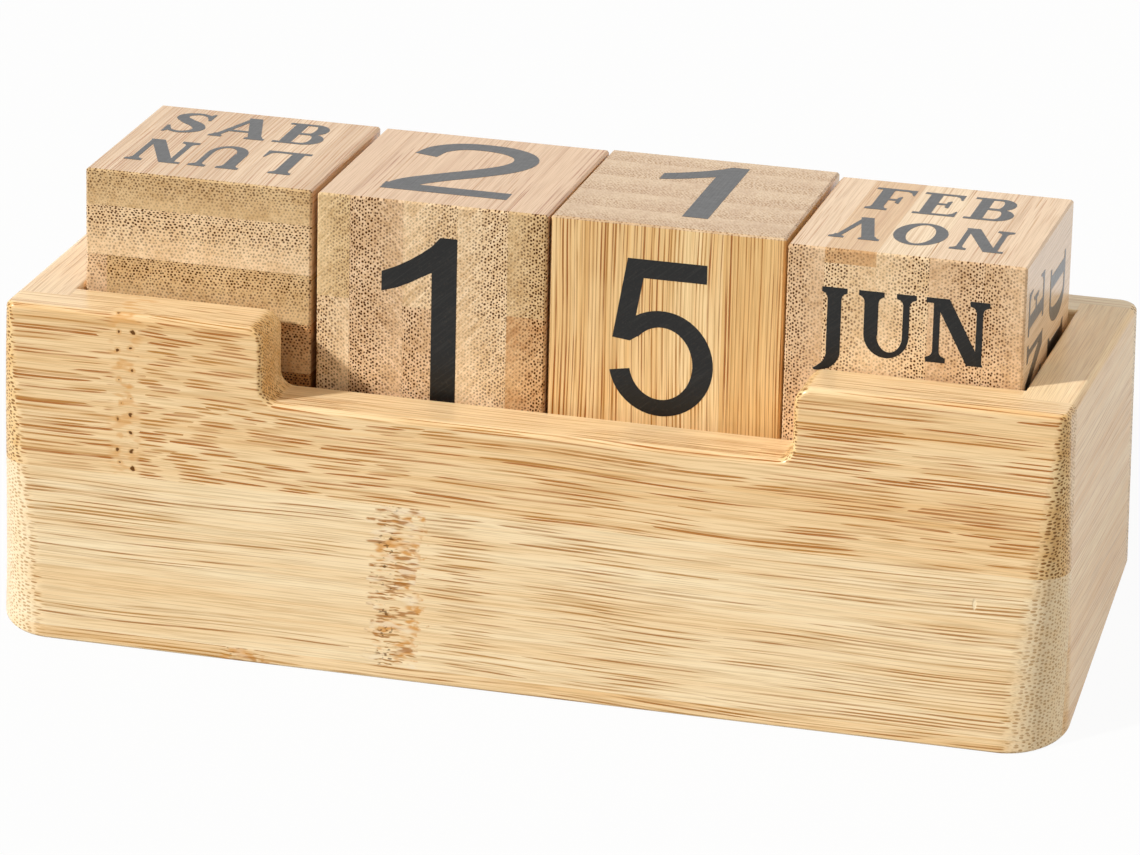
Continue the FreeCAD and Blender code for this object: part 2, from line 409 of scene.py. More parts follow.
packed = w.math("EXPONENT", w.times(w.greater(inward, 0.0), -1 / crowded_depth))
packed = w.minus(1.0, packed)
row_place = w.times_plus(w.times_plus(packed, crowding, bent_inward), 1 / row_step, seed_y)
row = w.math("FLOOR", row_place)
column_place = w.times_plus(bent_across, 1 / bundle_step, seed_x)
column_place = w.times_plus(w.math("FLOORED_MODULO", row, 2.0), 0.5, column_place)
column = w.math("FLOOR", column_place)
chance = chances(column, row, 0.0)
off_middle = [
    w.times_plus(around_zero(chance[number]), bundle_jitter, around_zero(w.math("FRACT", place)))
    for number, place in enumerate((column_place, row_place))]
distance = length(w.times(off_middle[0], bundle_step), w.times(off_middle[1], row_step))
least_radius = w.step(ends, 0.0, 1.0, given["Bold"], bundle_radius * 0.75)
radius = w.times_plus(chance[2], bundle_radius * 0.5, least_radius)
spot = w.step(w.minus(distance, radius), bundle_softness, -bundle_softness)

depth_share = w.math("DIVIDE", inward, given["Depth"], clamp=True)
skin_side = w.step(depth_share, 0.05, 1.0, 1.0, darkness_deep_inside)
sawn_open = w.times(w.step(inward, *sawn_open_depths), w.minus(1.0, ends))
flow = w.noise(stretched(0.64, 0.54, 14))
patchy = w.noise(stretched(4, 4, 11))
kept = w.times(w.step(flow, 0.28, 0.58, 0.3, 1.0), w.step(patchy, 0.3, 0.6, 0.55, 1.0))
kept = w.greater(kept, w.greater(ends, in_band))
darkness = w.times(kept, skin_side, w.times_plus(sawn_open, -sawn_open_fade, 1.0))
darkness = w.math("MULTIPLY", w.times_plus(chance[2], 0.4, 0.8), darkness, clamp=True)
quiet = w.times(w.step(knot_distance, 3.2, 1.6), given["Pits"])
quiet = w.times_plus(quiet, -quiet_by_pits, 1.0)
marked = w.math("MULTIPLY", spot, w.times(darkness, quiet, given["Bundles"]), clamp=True)

# %% [markdown]
# ### The flesh
# Between the bundles the flesh is mixed from two tones by noise that is drawn out along the
# grain, with a hair-fine grain on top. What is darker is warmer too, because green and blue fall
# faster than red. The end grain is darker towards the skin, a face sawn open deeper in the wall
# is paler, and the saw leaves faint slanting marks on the ends. Chance makes some lines golden.

# %% The flesh
golden_colour = (0.62, 0.35, 0.09, 1)
golden_share = 0.4
saw_slant_degrees = 40
saw_stretch = (0.15, 2.6, 1.0)
saw_contrast = 0.8
green_fall, blue_fall = 1.3, 1.8

slow_tone = w.noise(stretched(6, 6, 90), detail=2)
streaks = w.noise(stretched(1.1, 1.1, 40), detail=1)
fine_tone = w.noise(stretched(0.17, 0.17, 11), detail=2)
warmth = w.times_plus(w.step(slow_tone, 0.3, 0.7), 0.5, w.times(w.step(streaks, 0.35, 0.75), 0.5))
warmth = w.math("ADD", warmth, w.times(skin_side, ends, 0.2), clamp=True)
warmth = w.times_plus(sawn_open, -0.5, warmth, clamp=True)
flesh = w.mix(warmth, given["Pale"], given["Warm"])

slant = w.turned(w.vector(across, inward, 0.0), saw_slant_degrees, "Z_AXIS")
saw = w.noise(w.vector_math("MULTIPLY", slant, saw_stretch), detail=2)
sawn = w.times(given["Saw"], ends)
grain_low = w.step(ends, 0.0, 1.0, 0.85, 0.95)
grain_light = w.step(fine_tone, 0.32, 0.6, grain_low, 1.05)
saw_light = w.times_plus(w.times(around_zero(saw), sawn), saw_contrast, 1.0)
grain_light = w.times(grain_light, saw_light)
green, blue = (w.math("POWER", grain_light, fall) for fall in (green_fall, blue_fall))
flesh = w.mix(1.0, flesh, w.vector(grain_light, green, blue), "MULTIPLY")
golden = w.step(chance[0], 0.3, 0.9, 0.0, golden_share)
line_colour = w.mix(ends, w.mix(golden, given["Fibre"], golden_colour), given["Pore"])
wood = w.mix(marked, flesh, line_colour)

# %% [markdown]
# ### The knots
# A knot is the cross wall of the stalk. On one strip of the real tray it is two loose files of
# small dark pits, where bundles turn sideways, in a faint rusty stain. On another it is a ragged
# band with rusty and creamy patches, brown threads, and small dark hooks on the side that the
# lines come from. Pits and Patches say how much of each a strip has.

# %% The knots
pit_step = 2.95
pit_files_apart = 2.1
pit_depth = 1.2
stain_colour = (0.7, 0.31, 0.06, 1)
cream_colour = (0.96, 0.79, 0.55, 1)
thread_colour = (0.4, 0.145, 0.015, 1)
hook_colour = (0.15, 0.06, 0.014, 1)
pit_colour = (0.1, 0.03, 0.003, 1)
hook_centre = -1.4
pit_jitter, file_jitter = 0.5, 0.7
least_pit, pit_growth = 0.02, 0.34
pit_raggedness = 0.9


def painted(wood, paint, share, *masks):
    """The wood with this share of paint on it, where all the masks allow."""
    return w.mix(w.times(*masks, share), wood, paint)


patch = w.parts(w.noise(stretched(1.2, 0.9, 3.4), detail=1, output=1))
thread = w.noise(stretched(0.55, 0.5, 3.6), detail=1)
flake = w.parts(w.noise(stretched(0.6, 0.5, 1.0), detail=1, output=1))
rusty = w.step(w.times_plus(from_knot, 0.02, patch[0]), 0.46, 0.66)
wood = painted(wood, stain_colour, 0.85, rusty, in_band)
wood = painted(wood, cream_colour, 0.75, w.step(patch[1], 0.48, 0.7), in_band)
wood = painted(wood, thread_colour, 0.8, w.step(thread, 0.54, 0.66), in_band)
hook_side = w.step(w.math("ABSOLUTE", w.plus(from_knot, -hook_centre)), 2.3, 0.8)
hooks = w.times(w.step(flake[0], 0.6, 0.71), w.times(hook_side, in_band))
wood = painted(wood, hook_colour, 0.8, hooks)

pit_row_place = w.times_plus(across, 1 / pit_step, seed_x)
pit_chance = chances(w.math("FLOOR", pit_row_place), past_knot, 3.0)
off_row = around_zero(w.math("FRACT", pit_row_place))
off_row = w.times_plus(around_zero(pit_chance[0]), pit_jitter, off_row)
off_file = w.minus(knot_distance, pit_files_apart / 2)
off_file = w.times_plus(around_zero(pit_chance[1]), file_jitter, off_file)
pit_distance = length(w.times(off_row, pit_step), off_file)
pit_distance = w.times_plus(around_zero(flake[2]), pit_raggedness, pit_distance)
pit_radius = w.times_plus(pit_chance[2], pit_growth, least_pit)
pit_share = w.times(given["Pits"], w.step(inward, pit_depth, pit_depth * 0.6))
pit = w.times(w.step(w.minus(pit_distance, pit_radius), 0.12, -0.06), pit_share)
stained = w.times(w.step(patch[0], 0.5, 0.66), given["Pits"])
wood = painted(wood, stain_colour, 0.5, w.step(knot_distance, 4.0, 1.2), stained)
rust_ring = w.times(w.step(pit_distance, 0.75, 0.35), w.times(pit_share, 0.4))
wood = w.mix(rust_ring, wood, stain_colour)
wood = painted(wood, pit_colour, 0.92, pit)

# %% [markdown]
# ### What the group gives back
# The height feeds a bump: open pores and pits are low, and the saw leaves ridges. Lacquer sinks
# into pits and open pores, so they have next to no gloss.

# %% What the group gives back
lost_gloss = 0.85
grain_height, saw_height, patch_height = 0.4, 1.2, 0.6
pit_drop = 0.6

spot_depth = w.step(ends, 0.0, 1.0, 0.12, 0.35)
height = w.minus(w.times(fine_tone, grain_height), w.times(spot, spot_depth))
height = w.times_plus(w.times(saw, sawn), saw_height, height)
height = w.times_plus(pit, -pit_drop, height)
height = w.times_plus(w.times(patch[1], in_band), patch_height, height)
hollow = w.greater(w.times(marked, ends), w.greater(pit, hooks))
results = {
    "Colour": wood, "Height": height, "Gloss": w.times_plus(hollow, -lost_gloss, 1.0),
    "Roughness": w.times_plus(marked, 0.12, w.step(fine_tone, 0.2, 0.8, 0.34, 0.46)),
}
group_output = bamboo.nodes.new("NodeGroupOutput").inputs
for name, value in results.items():
    w.join(value, group_output[name])
print("bamboo group", len(bamboo.nodes), "nodes")

# %% [markdown]
# ## One material for each strip
# Every strip is cut from another stalk, so it has its own tone and its own scatter of bundles.
# A Mapping node stands the strip upright and moves its own corner to zero, and the axes are then
# swapped so that the grain always runs along Z. Tones are written as they look in soft light.

# %% One material for each strip


def colour(red, green, blue):
    """A colour from screen values of 0 to 255, made linear as the shader needs it."""
    channels = []
    for value in (red, green, blue):
        value = value / 255
        channels.append(value / 12.92 if value <= 0.04045 else ((value + 0.055) / 1.055) ** 2.4)
    return (*channels, 1)


tones = {
    "ivory": (colour(255, 236, 200), colour(251, 223, 178)),
    "cream": (colour(253, 231, 190), colour(243, 209, 158)),
    "straw": (colour(251, 222, 175), colour(234, 190, 130)),
    "wheat": (colour(249, 219, 171), colour(234, 190, 130)),
    "honey": (colour(249, 219, 165), colour(232, 187, 122)),
    "blush": (colour(227, 190, 150), colour(200, 156, 113)),
    "amber": (colour(239, 200, 138), colour(218, 168, 100)),
    "olive": (colour(226, 194, 146), colour(202, 165, 114)),
    "khaki": (colour(234, 203, 154), colour(210, 175, 124)),
    "rose": (colour(237, 204, 164), colour(210, 171, 127)),
    "ochre": (colour(224, 184, 134), colour(198, 148, 96)),
    # Darker and more orange than the rest: partly the lowest weekday layer's own tone, partly
    # painted shade for the notch's shadow on it.
    "russet_with_painted_shade": (colour(200, 150, 94), colour(172, 114, 62)),
    "clay": (colour(226, 196, 156), colour(207, 172, 132)),
    "sand": (colour(244, 215, 174), colour(225, 190, 144)),
}
fibre_brown = colour(178, 114, 54)
pore_brown = colour(84, 48, 16)
long_side, end_side = 0.06, 0.45
bump_depth = 0.00012
bump_strength = 0.5
nick_depth = 1.5
finish_of_wood = {"IOR": 1.1, "Coat Roughness": 0.25, "Coat IOR": 1.4}
widest_seed = 90


def strip_material(name, grain, skin, tone, end_tone=None, dive=0.0, wander=0.3, bundles=1.0,
                   bold=0.09, knot=0.0, pits=0.0, patches=0.0, fan=0.0, saw=0.0, coat=0.7,
                   nick=None, fibre=fibre_brown, pore=pore_brown):
    """Bamboo for one strip. grain and skin are signed axes, such as "+x": skin is where the
    stalk's outside was. end_tone is the tone of its end grain, where that differs."""
    low, high = upright_box([name])
    axes = "xyz"
    grain_axis, skin_axis = axes.index(grain[1]), axes.index(skin[1])
    across_axis = 3 - grain_axis - skin_axis
    material = bpy.data.materials.new(name + "_bamboo")
    m = wiring_of(material)
    texture = m.node("TexCoord").outputs
    place = m.add("Mapping", {
        "Vector": texture["Object"], "Location": [-to_mm * value for value in low],
        "Rotation": (lean, 0, 0), "Scale": (to_mm,) * 3})
    lengths = m.parts(place)
    depth = to_mm * (high - low)[skin_axis]
    inward = lengths[skin_axis]
    if skin[0] == "+":
        inward = m.minus(depth, inward)
    place = m.vector(lengths[across_axis], inward, lengths[grain_axis])
    grain_vector = Vector((0, 0, 0))
    grain_vector[grain_axis] = 1
    squareness = m.vector_math("DOT_PRODUCT", texture["Normal"], lean_back @ grain_vector, "Value")
    ends = m.step(m.math("ABSOLUTE", squareness), long_side, end_side)
    pale, warm = (m.mix(ends, along_it, across_it)
                  for along_it, across_it in zip(tones[tone], tones[end_tone or tone]))
    scatter = random.Random(name)
    seed = (scatter.uniform(0, widest_seed), scatter.randint(0, widest_seed) + 0.5,
            scatter.uniform(0, widest_seed))
    values = {
        "Place": place, "Ends": ends, "Depth": depth, "Dive": dive, "Wander": wander,
        "Seed": seed, "Bundles": bundles, "Bold": bold, "Knot": knot, "Pits": pits,
        "Patches": patches, "Fan": fan, "Saw": saw, "Pale": pale, "Warm": warm,
        "Fibre": fibre, "Pore": pore,
    }
    group = m.node("Group")
    group.node_tree = bamboo
    for key, value in values.items():
        m.join(value, group.inputs[key])
    wood, height = group.outputs["Colour"], group.outputs["Height"]
    if nick:
        off_nick = m.vector_math("SUBTRACT", place, (nick["across"], 0, nick["along"]))
        in_nicks = (1 / nick["half_height"], 0, 1 / nick["half_width"])
        off_nick = m.vector_math("MULTIPLY", off_nick, in_nicks)
        dent = m.step(m.vector_math("LENGTH", off_nick, output="Value"), 1.0, 0.5)
        wood = m.mix(dent, wood, tones["cream"][0])
        height = m.times_plus(dent, -nick_depth, height)
    bump = m.add("Bump",
                 {"Height": height, "Strength": bump_strength, "Distance": bump_depth})
    m.show(m.add("BsdfPrincipled", {
        "Base Color": wood, "Roughness": group.outputs["Roughness"], "Normal": bump,
        "Coat Weight": m.times(group.outputs["Gloss"], coat), **finish_of_wood}))
    for slot in nodes[name].material_slots:
        slot.material = material


print("tones", ", ".join(tones))

# %% [markdown]
# ## The tray
# The boards have their grain lengthwise. The front board is the showpiece: its upper strip has a
# knot near the left end with short dashes all round it, and its lower strip has a wide knot left
# of the middle, with long quiet lines on one side and a fan of dashes on the other.

# %% The tray
all_blocks = upright_box([name for name in nodes if "block" in name])
row_middle = sum(corner.x for corner in all_blocks) / 2
front_nick = dict(along=77.2, across=23.3, half_width=0.4, half_height=1.2)
front_lines = dict(fibre=colour(172, 116, 54), pore=colour(204, 168, 122))


def from_row_middle(name, place):
    """Where a place along the row, in mm from its middle, lies on this strip."""
    return to_mm * (row_middle - upright_box([name])[0].x) + place


front = dict(grain="+x", skin="-y")
back = dict(grain="+x", skin="+y")
left_side = dict(grain="+y", skin="-x")
right_side = dict(grain="+y", skin="+x", tone="straw", wander=0.8, bundles=0.4)
raised_floor = dict(grain="+x", skin="+z", dive=0.01, wander=1.0)
tray_strips = {
    "front_board_upper_strip": dict(
        front, tone="wheat", end_tone="honey", dive=0.008, wander=1.3, bundles=1.3, bold=0.13,
        knot=-69.5, pits=1.0, fan=0.065, pore=colour(148, 106, 62)),
    "front_board_lower_strip": dict(
        front, tone="cream", end_tone="ivory", dive=0.002, wander=0.4, bundles=0.9,
        knot=-21.8, patches=1.0, fan=0.04, nick=front_nick, **front_lines),
    "front_board_bottom_strip": dict(
        front, tone="straw", end_tone="ivory", dive=0.008, wander=0.8,
        knot=-49.0, patches=0.7, fan=0.02, **front_lines),
    "back_board_upper_strip": dict(
        back, tone="cream", dive=0.004, wander=1.0, knot=31.0, patches=0.8, fan=0.05),
    "back_board_lower_strip": dict(
        back, tone="straw", dive=0.008, wander=1.2, knot=-40.0, pits=1.0, fan=0.05),
    "left_board_upper_strip": dict(left_side, tone="sand", dive=0.004, wander=0.8),
    "left_board_lower_strip": dict(left_side, tone="straw", dive=0.01, wander=1.2),
    "right_board_upper_strip": dict(right_side, dive=0.006, coat=0.6),
    "right_board_lower_strip": dict(right_side, dive=0.004, coat=0.5),
    "floor_front_strip": dict(raised_floor, tone="cream"),
    "floor_rear_strip": dict(raised_floor, tone="straw"),
}
for name, finish in tray_strips.items():
    if "knot" in finish:
        finish["knot"] = from_row_middle(name, finish["knot"])
    if "nick" in finish:
        finish["nick"] = dict(front_nick, along=from_row_middle(name, front_nick["along"]))
    strip_material(name, **finish)
print("tray strips", len(tray_strips))

# %% [markdown]
# ## The blocks
# Each block is glued up from layers, and each layer from short strips. The maker lets the tones
# fall as they come, which makes the checkered ends. The two lowest layers of the weekday block
# are darker, partly their own tone and partly painted shade for the shadow that the notch throws
# on them. In three of the blocks the grain runs from front to back, so their fronts show dots,
# and in the units block it stands upright. Where two layers meet skin to skin, the dots crowd
# along the seam.

# %% The blocks
block_strips = {}
for layer in range(1, 6):
    for word in ("left", "middle", "right"):
        block_strips[f"weekday_block_layer_{layer}_{word}"] = dict(
            grain="+y", skin="+z", tone="rose")
    for word in ("upper", "lower"):
        block_strips[f"tens_block_strip_{layer}_{word}"] = dict(
            grain="+y", skin="-x", tone="blush", end_tone="rose", fibre=colour(168, 106, 62))
        block_strips[f"month_block_strip_{layer}_{word}"] = dict(
            grain="+y", skin="-x", tone="sand")
    for word in ("left", "right"):
        block_strips[f"units_block_layer_{layer}_{word}"] = dict(
            grain="+z", skin="-y", tone={"left": "honey", "right": "amber"}[word],
            end_tone="clay", fibre=colour(156, 96, 38), pore=colour(168, 132, 96))
    block_strips[f"month_block_strip_{layer}"] = dict(grain="+y", skin="-x", tone="rose")

changes = {
    "weekday_block": dict(coat=1.0),
    "tens_block": dict(coat=1.0, saw=1.0),
    "tens_block_strip_2": dict(bundles=1.25),
    "units_block": dict(coat=1.0),
    "month_block": dict(coat=1.0, saw=0.4),
    "weekday_block_layer_1": dict(end_tone="olive", bundles=0.8),
    "weekday_block_layer_2": dict(tone="sand"),
    "weekday_block_layer_3": dict(tone="olive"),
    "weekday_block_layer_3_left": dict(tone="rose", bundles=0.8),
    # The two lowest weekday layers are darker and more orange, with darker pores on the lowest:
    # partly their own tone, partly painted shade for the shadow that the notch throws on them.
    "weekday_block_layer_4": dict(tone="ochre", bundles=1.15),
    "weekday_block_layer_5": dict(tone="russet_with_painted_shade", bundles=1.25, pore=colour(64, 32, 8)),
    "tens_block_strip_1_upper": dict(end_tone="khaki", skin="+x", bundles=0.7),
    "tens_block_strip_1_lower": dict(end_tone="sand"),
    "tens_block_strip_3_upper": dict(end_tone="sand", skin="+x", bundles=0.85),
    "tens_block_strip_4_upper": dict(end_tone="sand", skin="+x", bundles=1.1),
    "tens_block_strip_4_lower": dict(end_tone="sand", skin="+x", bundles=0.8),
    "tens_block_strip_5_upper": dict(end_tone="olive", skin="+x", bundles=1.15),
    "tens_block_strip_5_lower": dict(end_tone="ochre", skin="+x"),
    "month_block_strip_2_upper": dict(tone="ochre", bundles=0.7),
    "month_block_strip_3": dict(skin="+x"),
    "month_block_strip_4": dict(skin="+x", tone="rose"),
}
block_strips = {name: finish for name, finish in block_strips.items() if name in nodes}
for name, finish in block_strips.items():
    for start, change in changes.items():
        if name.startswith(start):
            finish.update(change)
    strip_material(name, **finish)
print("block strips", len(block_strips))

# %% [markdown]
# ## The ink
# The print is a thin black film. The letters are drawn for this object alone: a narrow letter
# with thick and thin strokes and small feet, and plain digits. Each stroke is a flat outline, and
# the outlines of one letter overlap. Blender's own triangulation finds what they cover together,
# the small faces are dissolved into large ones, and one extrusion gives the film its thickness.
# A letter is drawn with its height as 100, and made as wide and high as it has to be later.

# %% Strokes
thick, thin, foot = 17, 8, 8
curve_steps = 10
circle_steps = 50


def bar(left, right, bottom, top):
    return [(left, bottom), (right, bottom), (right, top), (left, top)]


def slope(bottom_x, bottom, top_x, top, width):
    """A slanting stroke, as wide as width along the horizontal."""
    return [(bottom_x, bottom), (bottom_x + width, bottom), (top_x + width, top), (top_x, top)]


def ring(centre, outer, inner, start, end, inner_shift=0):
    """A bent stroke between two ellipses, from one angle to another, both in degrees."""
    steps = max(4, round(abs(end - start) / 360 * circle_steps))
    angles = [math.radians(start + (end - start) * step / steps) for step in range(steps + 1)]
    x, y = centre
    outside = [(x + outer[0] * math.cos(a), y + outer[1] * math.sin(a)) for a in angles]
    inside = [(x + inner_shift + inner[0] * math.cos(a), y + inner[1] * math.sin(a))
              for a in reversed(angles)]
    return outside + inside


def oval(centre, outer, inner):
    """A closed ring, in two halves that overlap by a little."""
    return [ring(centre, outer, inner, 0, 182), ring(centre, outer, inner, 180, 362)]


def pen(*stops):
    """A smooth stroke through stops of (x, y, width), so the pen may change its width."""
    stops = [Vector(stop) for stop in stops]
    padded = [2 * stops[0] - stops[1], *stops, 2 * stops[-1] - stops[-2]]
    middle = []
    for a, b, c, d in zip(padded, padded[1:], padded[2:], padded[3:]):
        for step in range(curve_steps):
            t = step / curve_steps
            middle.append(0.5 * (2 * b + (c - a) * t + (2 * a - 5 * b + 4 * c - d) * t * t
                                 + (3 * b - a - 3 * c + d) * t ** 3))
    middle.append(stops[-1])
    sides = ([], [])
    for number, spot_on_line in enumerate(middle):
        ahead = middle[min(number + 1, len(middle) - 1)].xy - middle[max(number - 1, 0)].xy
        across_line = Vector((-ahead.y, ahead.x)).normalized() * spot_on_line.z / 2
        sides[0].append(tuple(spot_on_line.xy - across_line))
        sides[1].append(tuple(spot_on_line.xy + across_line))
    return sides[0] + sides[1][::-1]


def feet(left, right, at, way, reach=7):
    """A foot under a stem between left and right: a slab with two hollow corners above it."""
    slab = bar(left - reach, right + reach, min(at, at + way * foot), max(at, at + way * foot))
    bend = [(1.0, 0.0), (0.45, 0.22), (0.16, 0.55), (0.0, 1.0)]
    lift = 9
    corners = [(left - x * (reach - 1), at + way * (foot + y * lift)) for x, y in bend]
    corners += [(right + x * (reach - 1), at + way * (foot + y * lift)) for x, y in reversed(bend)]
    return [slab, corners]


def arm(left, right, at, way, tick=24):
    """A thin arm that ends in a pointed tick, as on E, F, L and T."""
    edge = at + way * thin
    tip = at + way * tick
    bend = [(right - 12, edge), (right - 6, at + way * (thin + 5)), (right - 2.5, tip),
            (right, tip), (right, at), (right - 12, at)]
    return [bar(left, right, min(at, edge), max(at, edge)), bend]


def bowl(left, right, bottom, top, thickness=thick):
    """A round belly that leaves a stem at the left and comes back to it."""
    half = (top - bottom) / 2
    centre_x = left + (right - left) * 0.42
    reach = right - centre_x
    inner = (reach - thickness - 1, half - thin)
    return [ring((centre_x, bottom + half), (reach, half), inner, -90, 90),
            bar(left, centre_x, bottom, bottom + thin), bar(left, centre_x, top - thin, top)]


# %% [markdown]
# ### The letters
# Each letter has its width and a list of strokes. The weekdays and months need twenty letters.

# %% The letters
stem = bar(9, 26, 0, 100)
low_tab, high_tab = bar(0, 12, 0, foot), bar(0, 12, 100 - foot, 100)
beak = [(58, 66), (63, 66), (64, 100), (60, 100), (56, 88), (50, 84)]
letters = {
    "A": (79, [
        slope(4, 4, 34, 100, 9), slope(56, 4, 30, 101, 19), bar(17, 62, 30, 38),
        *feet(5, 12, 0, 1, 6), *feet(57, 73, 0, 1, 6)]),
    "B": (66, [stem, low_tab, high_tab, *bowl(22, 61, 48, 100), *bowl(22, 66, 0, 55)]),
    "C": (67, [
        ring((36, 50), (36, 51.5), (18, 43), 40, 322), beak,
        [(52, 12), (60, 20), (65, 30), (62, 33), (50, 17)]]),
    "D": (74, [stem, low_tab, high_tab, *bowl(22, 74, 0, 100, 19)]),
    "E": (60, [
        stem, low_tab, high_tab, *arm(22, 60, 0, 1), *arm(22, 57, 100, -1),
        bar(22, 42, 48, 56), [(38, 40), (42, 36), (44, 36), (44, 68), (42, 68), (38, 63)]]),
    "F": (57, [
        stem, *feet(9, 26, 0, 1), high_tab, *arm(22, 57, 100, -1), bar(22, 41, 46, 54),
        [(37, 38), (41, 34), (43, 34), (43, 66), (41, 66), (37, 61)]]),
    "G": (74, [
        ring((36, 50), (36, 51.5), (18, 43), 40, 335), beak, bar(51, 68, 5, 42),
        bar(44, 74, 36, 43)]),
    "I": (31, [bar(7, 24, 0, 100), *feet(7, 24, 0, 1), *feet(7, 24, 100, -1)]),
    "J": (36, [
        bar(12, 29, 4, 100), *feet(12, 29, 100, -1),
        pen((20.5, 8, 17), (20, -6, 16.5), (14, -19, 13), (3, -27, 7), (-3, -29, 3))]),
    "L": (61, [stem, *feet(9, 26, 100, -1), low_tab, *arm(22, 61, 0, 1, 30)]),
    "M": (98, [
        bar(8, 16, 0, 100), *feet(8, 16, 0, 1, 7), bar(0, 10, 100 - foot, 100),
        slope(41, 0, 8, 100, 19), slope(45, 0, 74, 100, 8), bar(74, 91, 0, 100),
        *feet(74, 91, 0, 1, 7), bar(88, 98, 100 - foot, 100)]),
    "N": (77, [
        bar(9, 17, 0, 100), *feet(9, 17, 0, 1, 8), high_tab, slope(51, 0, 8, 100, 20),
        bar(61, 69, 0, 100), *feet(61, 69, 100, -1, 8)]),
    "O": (77, oval((38.5, 50), (38.5, 51.5), (20, 43.5))),
    "P": (64, [stem, *feet(9, 26, 0, 1), high_tab, *bowl(22, 64, 42, 100)]),
    "R": (76, [
        stem, *feet(9, 26, 0, 1), high_tab, *bowl(22, 63, 46, 100), slope(52, 2, 30, 50, 18),
        bar(54, 76, 0, foot)]),
    "S": (58, [
        pen((51, 76, 6), (44, 90, 8), (30, 96, 8.5), (14, 88, 13), (11, 74, 17), (24, 58, 20),
            (40, 44, 20), (48, 27, 17), (42, 12, 12), (27, 4, 8.5), (12, 10, 7), (5, 25, 5)),
        [(46, 80), (49, 68), (53, 68), (53, 100), (50, 100), (46, 93)],
        [(9, 20), (6, 32), (2, 32), (2, 0), (5, 0), (10, 8)]]),
    "T": (66, [
        bar(24.5, 41.5, 0, 100), *feet(24.5, 41.5, 0, 1), *arm(33, 66, 100, -1),
        [(66 - x, y) for x, y in arm(33, 66, 100, -1)[1]], bar(0, 33, 92, 100)]),
    "U": (72, [
        bar(9, 26, 32, 100), *feet(9, 26, 100, -1), bar(56, 64, 32, 100),
        *feet(56, 64, 100, -1, 8), ring((36.5, 34), (27.5, 35.5), (15.5, 26), 178, 362, 4)]),
    "V": (73, [
        slope(28, 0, 6, 98, 19), slope(34, 0, 58, 98, 8.5), bar(28, 43, -1, 5),
        *feet(7, 23, 100, -1, 7), *feet(58, 66, 100, -1, 7)]),
    "Y": (76, [
        bar(29, 46, 0, 48), *feet(29, 46, 0, 1), slope(29, 42, 6, 98, 19),
        slope(37, 42, 60, 98, 9), *feet(7, 24, 100, -1, 6), *feet(60, 68, 100, -1, 6)]),
}
digits = {
    "0": (66, oval((33, 50), (33, 51), (20, 40))),
    "1": (44.5, [[
        (29.7, 0), (44.5, 0), (44.5, 100), (34.5, 100), (29.5, 94.3), (23.7, 89.8), (16.5, 85),
        (8.6, 80.6), (0, 77), (0, 65.2), (9, 68), (16.5, 71.5), (23.7, 75.6), (29.7, 78.8)]]),
    "2": (75, [
        pen((8.4, 69.5, 14.4), (12.5, 82.5, 13.6), (23, 91.5, 12.6), (37, 94, 12.2),
            (52, 91.5, 13), (63, 83.5, 14), (66, 71.5, 14.4), (60.5, 58, 14.6), (46.5, 44, 14.6),
            (28, 29, 14.6), (14.5, 16, 15.5), (9, 3.5, 17)),
        bar(1.6, 75, 0, 11.9)]),
    "3": (64, [
        pen((6.5, 74, 13), (14, 88, 11), (30, 94.8, 10.5), (46, 89, 12), (50.5, 75, 13),
            (44, 60.5, 11.5), (28, 55, 10.4)),
        pen((26, 55, 10.4), (42, 52.5, 10.6), (54, 41, 12.6), (56.5, 27, 13.4), (48, 11.5, 12),
            (31, 5.2, 10.6), (14, 11, 11), (6.2, 26, 13))]),
    "4": (70, [slope(0, 24, 42, 100, 14), bar(2, 70, 22.5, 33.5), bar(43, 56, 0, 100)]),
    "5": (65.5, [
        bar(10.3, 60.1, 88, 100),
        [(1.8, 48.3), (12.9, 47), (18, 50.6), (18, 57), (15.9, 61.8), (20.5, 88), (12, 98),
         (10.3, 100)],
        ring((32.6, 34), (32.9, 34), (20, 23.4), -168, 137)]),
    "6": (66, [
        *oval((33, 32.5), (33, 33), (20, 22.5)),
        pen((6.5, 30, 13), (7, 50, 13), (12, 72, 13), (24, 89, 11.6), (37, 94.5, 10.8),
            (50, 89, 11.4), (57, 77, 12.6))]),
    "7": (66, [
        bar(0, 66, 88, 100),
        pen((59, 92, 13), (45, 72, 13), (33, 48, 13.4), (26, 22, 13.8), (24, 0, 14))]),
    "8": (66, [*oval((33, 75.5), (27.5, 25), (15, 15)), *oval((33, 28.5), (33, 29.5), (20, 19))]),
}
letters.update(digits)
print("signs", "".join(sorted(letters)))

# %% [markdown]
# ### From outlines to a film
# The outlines are turned anticlockwise first, because the triangulation takes the inside of an
# outline to be on its left. Each triangle says which outlines it lies in, so triangles in none
# of them are dropped, and the holes of A, B, D, O, P and R stay open.

# %% From outlines to a film
ink_above = 0.00003
ink_below = 0.00001
letter_gap = 12


def turned_left(outline):
    area = sum(a[0] * b[1] - b[0] * a[1] for a, b in zip(outline, outline[1:] + outline[:1]))
    return outline if area > 0 else outline[::-1]


